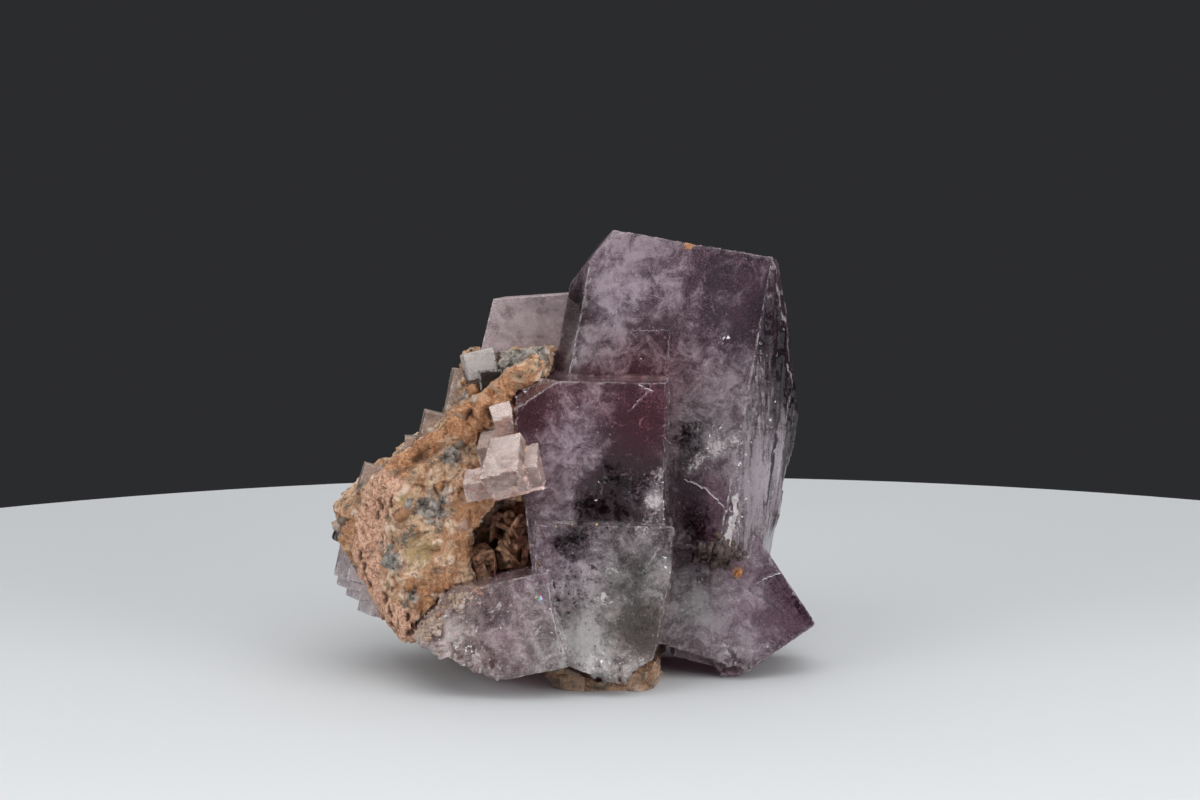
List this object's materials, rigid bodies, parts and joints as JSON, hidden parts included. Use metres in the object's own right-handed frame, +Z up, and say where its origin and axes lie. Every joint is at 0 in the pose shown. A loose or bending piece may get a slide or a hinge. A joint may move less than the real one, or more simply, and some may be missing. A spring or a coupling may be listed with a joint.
{
  "type": "fluorite cluster",
  "caption": "Loose mineral specimen of intergrown purple fluorite cubes on iron-stained vein rock, resting on a flat broken foot.",
  "frame": {"origin": "middle of the outline seen from above, on the surface the specimen stands on", "axes": "+Z up, away from the flat foot; +X to the right and +Y away from the viewer, seen from the specimen's front"},
  "size_m": [0.0612, 0.0402, 0.0557],
  "materials": {
    "vein_rock": "rough, iron-stained, grainy",
    "purple_fluorite": "cloudy, translucent, slightly etched",
    "lavender_fluorite": "cloudy, translucent",
    "white_fluorite": "milky, translucent",
    "smoky_fluorite": "glassy, dark",
    "pinkish_fluorite": "glassy, pale pinkish",
    "stained_fluorite": "brown iron stain on cleaved blocks"
  },
  "bodies": {
    "root": {"matrix": "vein_rock", "main_crystals": "purple_fluorite", "shoulder_cube": "lavender_fluorite", "step_cubes": "lavender_fluorite", "rear_cubes": "lavender_fluorite", "white_cube": "white_fluorite", "ledge_cube": "white_fluorite", "rim_cube_upper": "white_fluorite", "rim_cube_middle": "white_fluorite", "rim_cube_lower": "white_fluorite", "smoky_cube": "smoky_fluorite", "edge_plate": "smoky_fluorite", "pale_cubes": "pinkish_fluorite", "vug_block_left": "stained_fluorite", "vug_block_middle": "stained_fluorite", "vug_block_right": "stained_fluorite", "vug_block_top": "stained_fluorite"}
  },
  "joints": []
}
